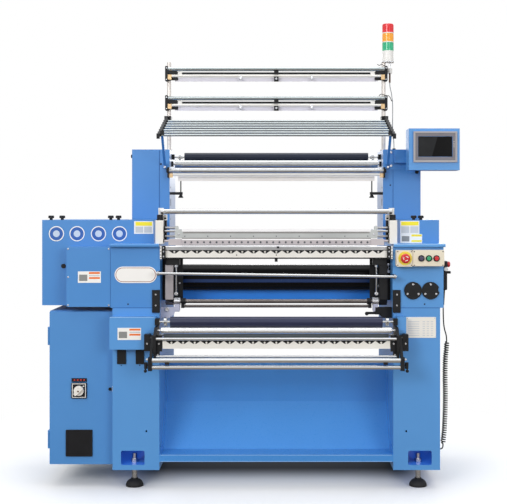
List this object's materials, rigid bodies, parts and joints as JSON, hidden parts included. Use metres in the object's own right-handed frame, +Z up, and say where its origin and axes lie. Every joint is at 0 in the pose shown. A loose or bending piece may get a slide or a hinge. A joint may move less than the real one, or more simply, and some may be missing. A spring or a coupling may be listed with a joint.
{
  "type": "crochet knitting machine",
  "caption": "Floor-standing crochet knitting machine with needle bar, weft bar, take-down rollers, yarn creel, control cabinet, pendant and touch panel.",
  "frame": {"origin": "middle of the machine's plan at the floor, under the levelling feet", "axes": "+Z up, -Y is the operator's side, +X to the operator's right"},
  "size_m": [1.899, 0.868, 2.15],
  "materials": {
    "blue_paint": "satin powder coat",
    "door_paint": "satin powder coat",
    "cream_paint": "satin",
    "black_steel": "black oxide",
    "black_plastic": "matte",
    "white_plastic": "gloss",
    "steel": "ground",
    "chrome": "polished",
    "navy_roller": "satin",
    "roller_black": "matte",
    "aluminium": "satin",
    "rubber": "matte",
    "grey_plastic": "matte",
    "red_plastic": "gloss",
    "green_plastic": "gloss",
    "dark_button": "gloss",
    "lens_red": "gloss",
    "cord_black": "matte",
    "cord_grey": "matte"
  },
  "bodies": {
    "machine": {"left_leg": "blue_paint", "right_leg": "blue_paint", "levelling_feet": "rubber", "right_gear_housing": "blue_paint", "left_gear_housing": "blue_paint", "pattern_drive_box": "blue_paint", "pattern_drive_cover": "blue_paint", "right_tower": "blue_paint", "left_tower": "blue_paint", "cabinet_shell": "blue_paint", "control_modules": "grey_plastic", "band_chute": "blue_paint", "main_beam": "blue_paint", "shaft_guard": "black_steel", "rocker_bearings": "steel", "weft_heads": "cream_paint", "thumb_knobs": "black_plastic", "front_plates": "black_steel", "take_down_cover": "blue_paint", "take_down_brackets": "black_steel", "lower_comb": "cream_paint", "feed_brackets": "black_steel", "creel_posts": "chrome", "creel_brackets": "black_steel", "guide_rods": "chrome", "thread_tubes": "cream_paint", "drop_bars": "steel", "tower_arms": "blue_paint", "lamp_base": "white_plastic", "lamp_lenses": "lens_red", "switch_boxes": "grey_plastic", "pendant_body": "black_plastic", "cord_lead": "cord_black", "curly_cord": "cord_black", "lamp_lead": "cord_grey"},
    "cabinet_door": {"cabinet_door": "door_paint", "door_fittings": "black_plastic"},
    "door_lock": {"door_lock": "black_steel"},
    "switch_handle": {"switch_handle": "cream_paint"},
    "main_shaft": {"main_shaft": "steel"},
    "needle_carrier": {"clamp_bar": "black_steel", "comb_plate": "cream_paint", "needle_rail": "steel", "rocker_arms": "steel"},
    "guide_plate": {"guide_plate": "steel"},
    "weft_bar": {"weft_bar": "aluminium"},
    "start_rod": {"start_rod": "chrome"},
    "pull_roller": {"take_down_roller": "navy_roller"},
    "press_roller": {"press_roller": "chrome"},
    "return_roller": {"return_roller": "roller_black"},
    "front_frame": {"frame_levers": "black_steel", "frame_tubes": "chrome"},
    "feed_roller": {"feed_roller": "roller_black"},
    "chrome_roller": {"chrome_roller": "chrome"},
    "touch_panel": {"panel_case": "blue_paint"},
    "stop_button": {"estop_button": "red_plastic"},
    "black_button": {"button_black": "dark_button"},
    "green_button": {"button_green": "green_plastic"},
    "red_button": {"button_red": "red_plastic"},
    "pendant_stop": {"pendant_button": "red_plastic"}
  },
  "joints": [
    {"name": "door_swing", "type": "hinge", "parent": "machine", "child": "cabinet_door", "pos_m": [-0.9135, -0.216, 0.44], "axis": [0, 0, -1], "range_deg": [0, 110]},
    {"name": "lock_turn", "type": "hinge", "parent": "cabinet_door", "child": "door_lock", "pos_m": [-0.6385, -0.23, 0.434], "axis": [0, -1, 0], "range_deg": [0, 90]},
    {"name": "switch_turn", "type": "hinge", "parent": "cabinet_door", "child": "switch_handle", "pos_m": [-0.7755, -0.23, 0.428], "axis": [0, -1, 0], "range_deg": [0, 90]},
    {"name": "shaft_turn", "type": "hinge", "parent": "machine", "child": "main_shaft", "pos_m": [0.0995, -0.035, 0.916], "axis": [1, 0, 0], "continuous": true},
    {"name": "needle_rock", "type": "hinge", "parent": "machine", "child": "needle_carrier", "pos_m": [0.0995, -0.21, 0.822], "axis": [1, 0, 0], "range_deg": [-2, 2]},
    {"name": "guide_shog", "type": "slide", "parent": "machine", "child": "guide_plate", "axis": [1, 0, 0], "range_m": [-0.005, 0.005]},
    {"name": "weft_throw", "type": "slide", "parent": "machine", "child": "weft_bar", "axis": [1, 0, 0], "range_m": [-0.012, 0.012]},
    {"name": "rod_shift", "type": "slide", "parent": "machine", "child": "start_rod", "axis": [0.9999, 0, -0.0138], "range_m": [-0.005, 0.005]},
    {"name": "pull_turn", "type": "hinge", "parent": "machine", "child": "pull_roller", "pos_m": [0.0995, -0.33, 0.7429], "axis": [1, 0, 0], "continuous": true},
    {"name": "press_turn", "type": "hinge", "parent": "machine", "child": "press_roller", "pos_m": [0.0995, -0.33978, 0.70639], "axis": [1, 0, 0], "continuous": true},
    {"name": "return_turn", "type": "hinge", "parent": "machine", "child": "return_roller", "pos_m": [0.0995, -0.31758, 0.68418], "axis": [1, 0, 0], "continuous": true},
    {"name": "frame_swing", "type": "hinge", "parent": "machine", "child": "front_frame", "pos_m": [0.0995, -0.35, 0.676], "axis": [-1, 0, 0], "range_deg": [0, 30]},
    {"name": "feed_turn", "type": "hinge", "parent": "machine", "child": "feed_roller", "pos_m": [0.0995, 0.26, 1.4905], "axis": [1, 0, 0], "continuous": true},
    {"name": "chrome_turn", "type": "hinge", "parent": "machine", "child": "chrome_roller", "pos_m": [0.0995, 0.24115, 1.4542], "axis": [1, 0, 0], "continuous": true},
    {"name": "panel_swivel", "type": "hinge", "parent": "machine", "child": "touch_panel", "pos_m": [0.8375, 0.114, 1.487], "axis": [0, 0, 1], "range_deg": [-15, 15]},
    {"name": "stop_push", "type": "slide", "parent": "machine", "child": "stop_button", "axis": [0, 1, 0], "range_m": [0, 0.004]},
    {"name": "black_push", "type": "slide", "parent": "machine", "child": "black_button", "axis": [0, 1, 0], "range_m": [0, 0.003], "stiffness_N_per_m": 600},
    {"name": "green_push", "type": "slide", "parent": "machine", "child": "green_button", "axis": [0, 1, 0], "range_m": [0, 0.003], "stiffness_N_per_m": 600},
    {"name": "red_push", "type": "slide", "parent": "machine", "child": "red_button", "axis": [0, 1, 0], "range_m": [0, 0.003], "stiffness_N_per_m": 600},
    {"name": "pendant_push", "type": "slide", "parent": "machine", "child": "pendant_stop", "axis": [-1, 0, 0], "range_m": [0, 0.003], "stiffness_N_per_m": 600}
  ],
  "couplings": [
    {"joint": "press_turn", "follows": "pull_turn", "ratio": -1.4933},
    {"joint": "return_turn", "follows": "pull_turn", "ratio": 1.4},
    {"joint": "chrome_turn", "follows": "feed_turn", "ratio": -0.97561}
  ]
}
